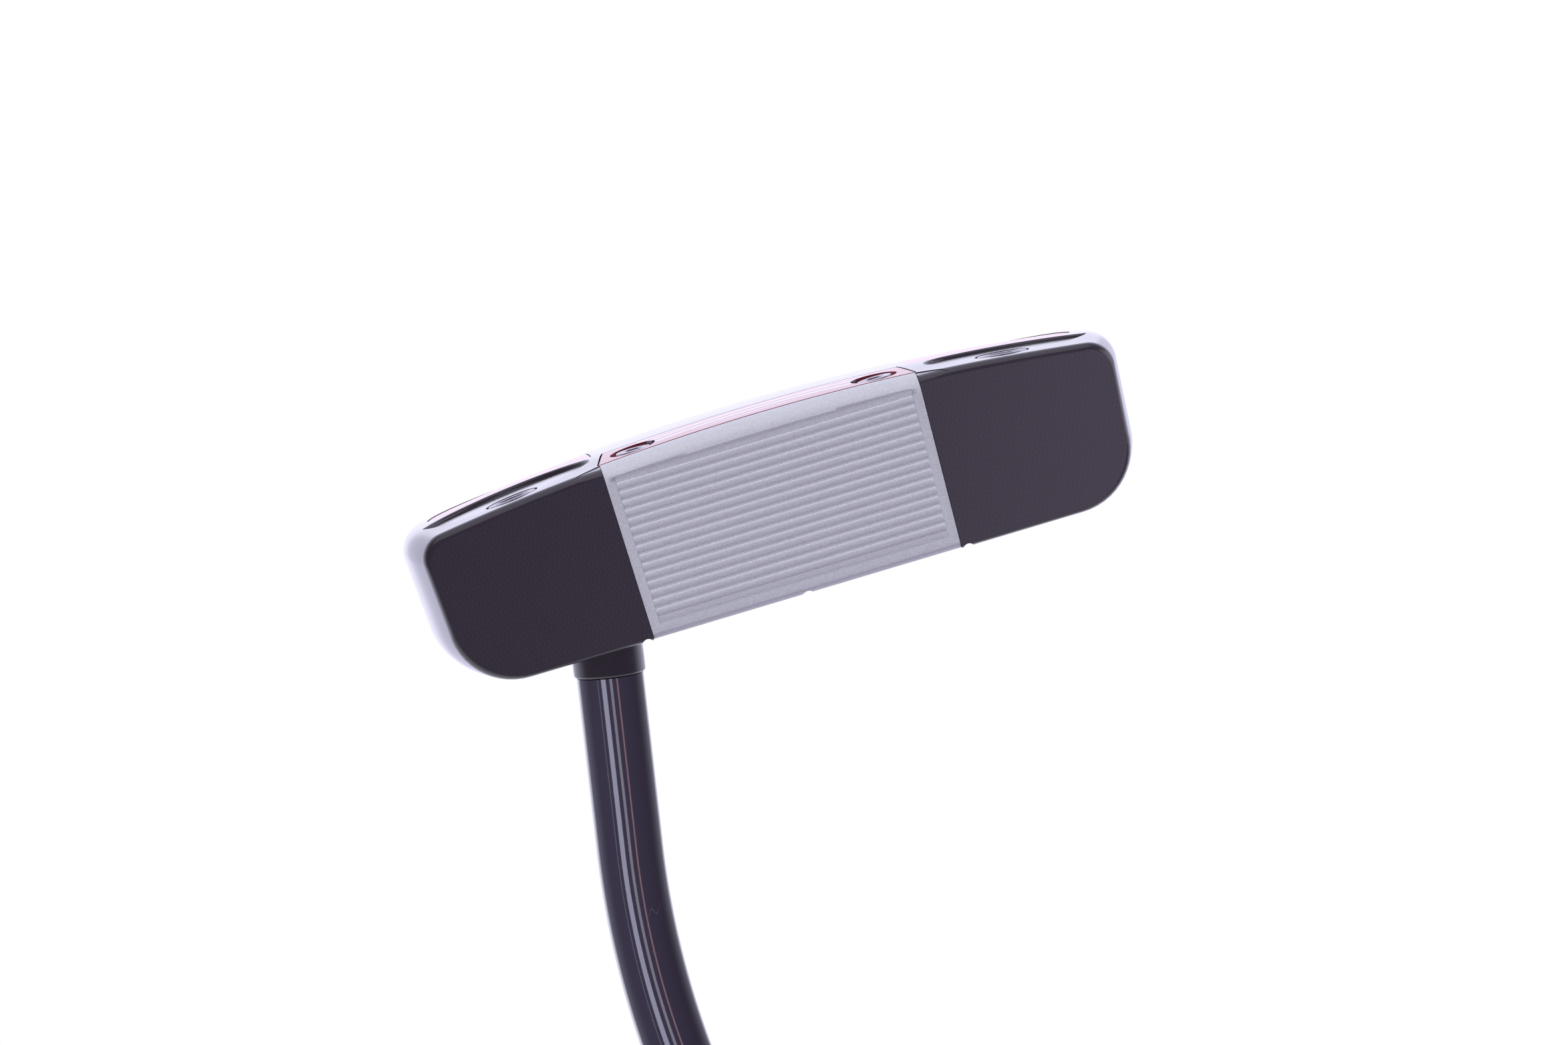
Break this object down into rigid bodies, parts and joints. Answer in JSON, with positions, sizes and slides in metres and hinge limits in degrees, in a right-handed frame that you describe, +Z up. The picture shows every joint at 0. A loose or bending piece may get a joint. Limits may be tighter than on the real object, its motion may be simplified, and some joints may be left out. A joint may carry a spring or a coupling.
{
  "type": "mallet putter",
  "caption": "Right-handed mallet putter: half-round black head with a ribbed pale face insert, red sole plate, screw-in sole weights, bent black shaft and rubber grip.",
  "frame": {"origin": "centre of the flat butt face of the grip cap", "axes": "+Z runs up the straight upper shaft from the butt towards the head, so the club is stored head up with its sole uppermost; +X points to the toe, +Y to the back of the head, and the striking face looks towards -Y"},
  "size_m": [0.1022, 0.0791, 0.8751],
  "materials": {
    "head_black": "black satin anodised, finely milled",
    "insert_pale": "pale grey, fine blasted grain",
    "red_anodised": "red satin anodised",
    "bright_steel": "bright turned steel",
    "weight_metal": "turned heavy metal, silver grey",
    "shaft_black": "gloss black",
    "grip_rubber": "matt black moulded rubber",
    "cap_plastic": "black moulded",
    "bond_film": "pale adhesive film"
  },
  "bodies": {
    "club": {"head_body": "head_black", "hosel_post": "head_black", "face_insert": "insert_pale", "sole_plate": "red_anodised", "heel_sole_inlay": "red_anodised", "toe_sole_inlay": "red_anodised", "heel_plate_screw": "bright_steel", "heel_plate_bush": "bright_steel", "heel_weight_bush": "bright_steel", "toe_plate_screw": "bright_steel", "toe_plate_bush": "bright_steel", "toe_weight_bush": "bright_steel", "shaft": "shaft_black", "grip": "grip_rubber", "grip_cap": "cap_plastic", "insert_bond_tape": "bond_film", "grip_tape": "bond_film"},
    "heel_weight": {"heel_weight": "weight_metal", "heel_weight_washer": "bright_steel"},
    "heel_weight_screw": {"heel_weight_screw": "bright_steel"},
    "toe_weight": {"toe_weight": "weight_metal", "toe_weight_washer": "bright_steel"},
    "toe_weight_screw": {"toe_weight_screw": "bright_steel"}
  },
  "joints": [
    {"name": "heel_weight_slide", "type": "slide", "parent": "club", "child": "heel_weight", "axis": [-0.4406, 0.0471, 0.8965], "range_m": [0, 0.004]},
    {"name": "heel_weight_screw_turn", "type": "hinge", "parent": "heel_weight", "child": "heel_weight_screw", "pos_m": [-0.03928, 0.00371, 0.84773], "axis": [-0.4406, 0.0471, 0.8965], "range_deg": [0, 2880]},
    {"name": "toe_weight_slide", "type": "slide", "parent": "club", "child": "toe_weight", "axis": [-0.2387, 0.0471, 0.97], "range_m": [0, 0.004]},
    {"name": "toe_weight_screw_turn", "type": "hinge", "parent": "toe_weight", "child": "toe_weight_screw", "pos_m": [0.02749, 0.00371, 0.87204], "axis": [-0.2387, 0.0471, 0.97], "range_deg": [0, 2880]}
  ],
  "couplings": [
    {"joint": "heel_weight_screw_turn", "follows": "heel_weight_slide", "rad_per_m": 12566},
    {"joint": "toe_weight_screw_turn", "follows": "toe_weight_slide", "rad_per_m": 12566}
  ]
}
